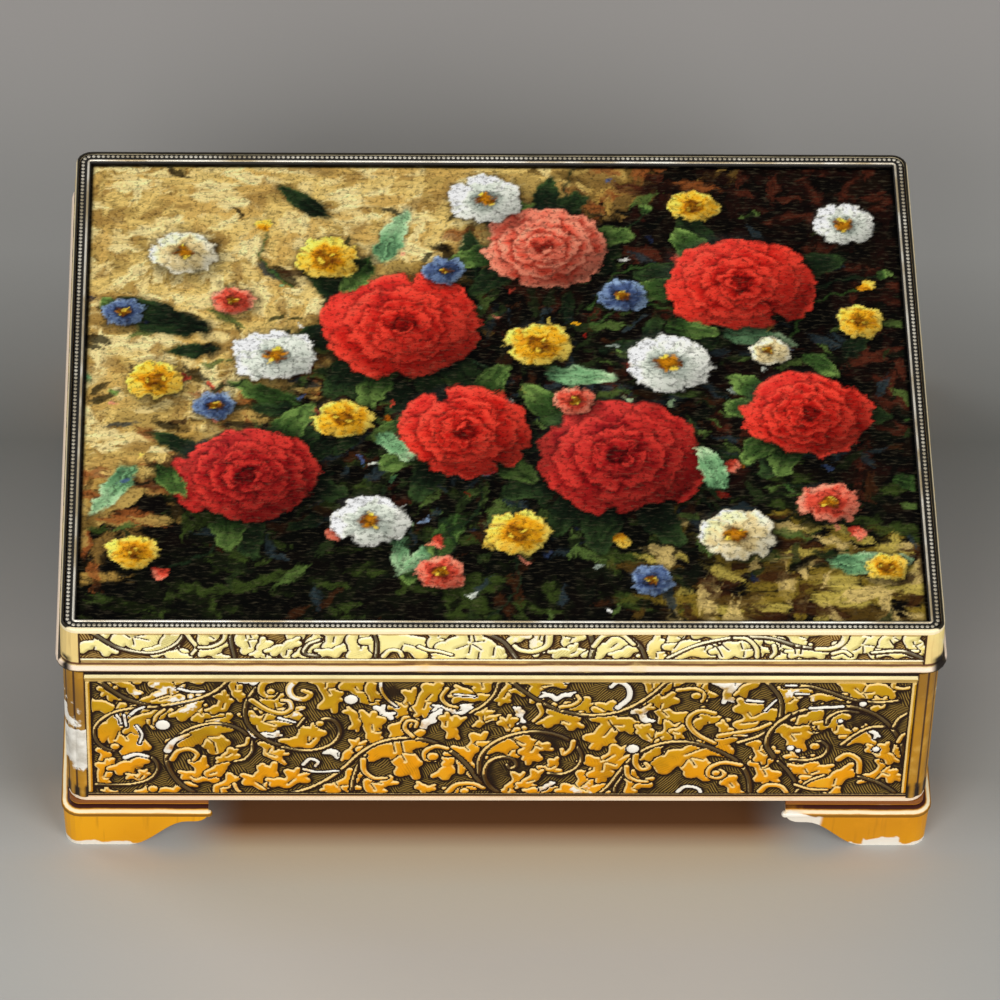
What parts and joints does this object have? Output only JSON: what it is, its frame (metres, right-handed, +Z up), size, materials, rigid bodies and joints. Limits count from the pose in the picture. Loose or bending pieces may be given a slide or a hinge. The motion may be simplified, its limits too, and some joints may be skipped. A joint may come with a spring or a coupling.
{
  "type": "musical jewelry box",
  "caption": "Hinged-lid jewelry box clad in stamped gilt tin on ogee bracket feet, with a framed picture lid, a mirror, lined wells, a ring insert and a wind-up musical movement.",
  "frame": {"origin": "middle of the box's outer extent on the plane that its feet stand on", "axes": "+X to the right along the long side, +Y to the hinged back, +Z up"},
  "size_m": [0.203, 0.1594, 0.0755],
  "materials": {
    "gilt_tin": "stamped tin with an aged gilt lacquer, dark in the hollows and worn pale on the crests",
    "pale_gilt_tin": "stamped tin with a pale cream gilt lacquer",
    "poplar_board": "plain sanded board",
    "red_velvet": "short pile velvet",
    "picture_print": "satin colour print on hardboard",
    "mirror_glass": "polished, with a bevelled edge",
    "clear_window": "clear cut sheet",
    "brass": "plain brass",
    "steel": "bright steel",
    "cast_zinc": "cast grey metal",
    "white_nylon": "moulded"
  },
  "bodies": {
    "case": {"front_board": "poplar_board", "rear_board": "poplar_board", "left_board": "poplar_board", "right_board": "poplar_board", "floor_board": "poplar_board", "case_cladding": "gilt_tin", "front_left_foot": "gilt_tin", "front_right_foot": "gilt_tin", "rear_left_foot": "gilt_tin", "rear_right_foot": "gilt_tin", "floor_lining": "red_velvet", "wall_lining": "red_velvet", "long_divider": "red_velvet", "cross_divider": "red_velvet", "ring_bay_divider": "red_velvet", "ring_insert": "red_velvet", "movement_window": "clear_window", "window_ledge": "poplar_board", "left_hinge_case_leaf": "brass", "right_hinge_case_leaf": "brass", "left_hinge_pin": "steel", "right_hinge_pin": "steel", "bedplate": "cast_zinc", "front_left_movement_screw": "steel", "front_right_movement_screw": "steel", "rear_left_movement_screw": "steel", "spring_barrel": "brass", "comb": "steel", "left_comb_screw": "steel", "right_comb_screw": "steel", "brake_frame": "brass", "brake_frame_screw": "steel", "plunger_spring": "steel", "key_escutcheon": "brass"},
    "lid": {"lid_board": "poplar_board", "lid_front_rail": "poplar_board", "lid_rear_rail": "poplar_board", "lid_left_rail": "poplar_board", "lid_right_rail": "poplar_board", "lid_skirt": "pale_gilt_tin", "beaded_bezel": "pale_gilt_tin", "picture_panel": "picture_print", "lid_lining": "red_velvet", "lid_mirror": "mirror_glass", "mirror_frame": "brass", "left_hinge_lid_leaf": "brass", "right_hinge_lid_leaf": "brass"},
    "key": {"winding_key": "brass", "winding_arbor": "steel"},
    "drive": {"drive_wheel": "white_nylon"},
    "cylinder": {"pin_cylinder": "brass", "cylinder_arbor": "steel", "cylinder_gear": "brass"},
    "brake": {"brake_wheel": "brass"},
    "worm": {"brake_worm": "steel", "brake_fan": "white_nylon"},
    "plunger": {"stop_plunger": "brass"}
  },
  "joints": [
    {"name": "lid_hinge", "type": "hinge", "parent": "case", "child": "lid", "pos_m": [0, 0.0782, 0.06155], "axis": [-1, 0, 0], "range_deg": [0, 100]},
    {"name": "stop_plunger_slide", "type": "slide", "parent": "case", "child": "plunger", "axis": [0, 0, 1], "range_m": [0, 0.003], "deforming": ["plunger_spring"]},
    {"name": "winding_key_turn", "type": "hinge", "parent": "case", "child": "key", "pos_m": [-0.0787, 0.0419, 0.0232], "axis": [0, 0, 1], "continuous": true},
    {"name": "brake_worm_spin", "type": "hinge", "parent": "case", "child": "worm", "pos_m": [-0.0407, 0.05634, 0.0232], "axis": [0, 0, 1], "continuous": true},
    {"name": "brake_wheel_spin", "type": "hinge", "parent": "case", "child": "brake", "pos_m": [-0.0407, 0.04963, 0.03159], "axis": [1, 0, 0], "continuous": true},
    {"name": "cylinder_spin", "type": "hinge", "parent": "case", "child": "cylinder", "pos_m": [-0.055, 0.0419, 0.03605], "axis": [1, 0, 0], "continuous": true},
    {"name": "drive_wheel_spin", "type": "hinge", "parent": "case", "child": "drive", "pos_m": [-0.0787, 0.0419, 0.0232], "axis": [0, 0, 1], "continuous": true}
  ],
  "couplings": [
    {"joint": "stop_plunger_slide", "follows": "lid_hinge", "m_per_rad": 0.0017188},
    {"joint": "brake_wheel_spin", "follows": "brake_worm_spin", "ratio": -0.041667},
    {"joint": "cylinder_spin", "follows": "brake_worm_spin", "ratio": 0.0092593},
    {"joint": "drive_wheel_spin", "follows": "brake_worm_spin", "ratio": 0.0021044}
  ]
}
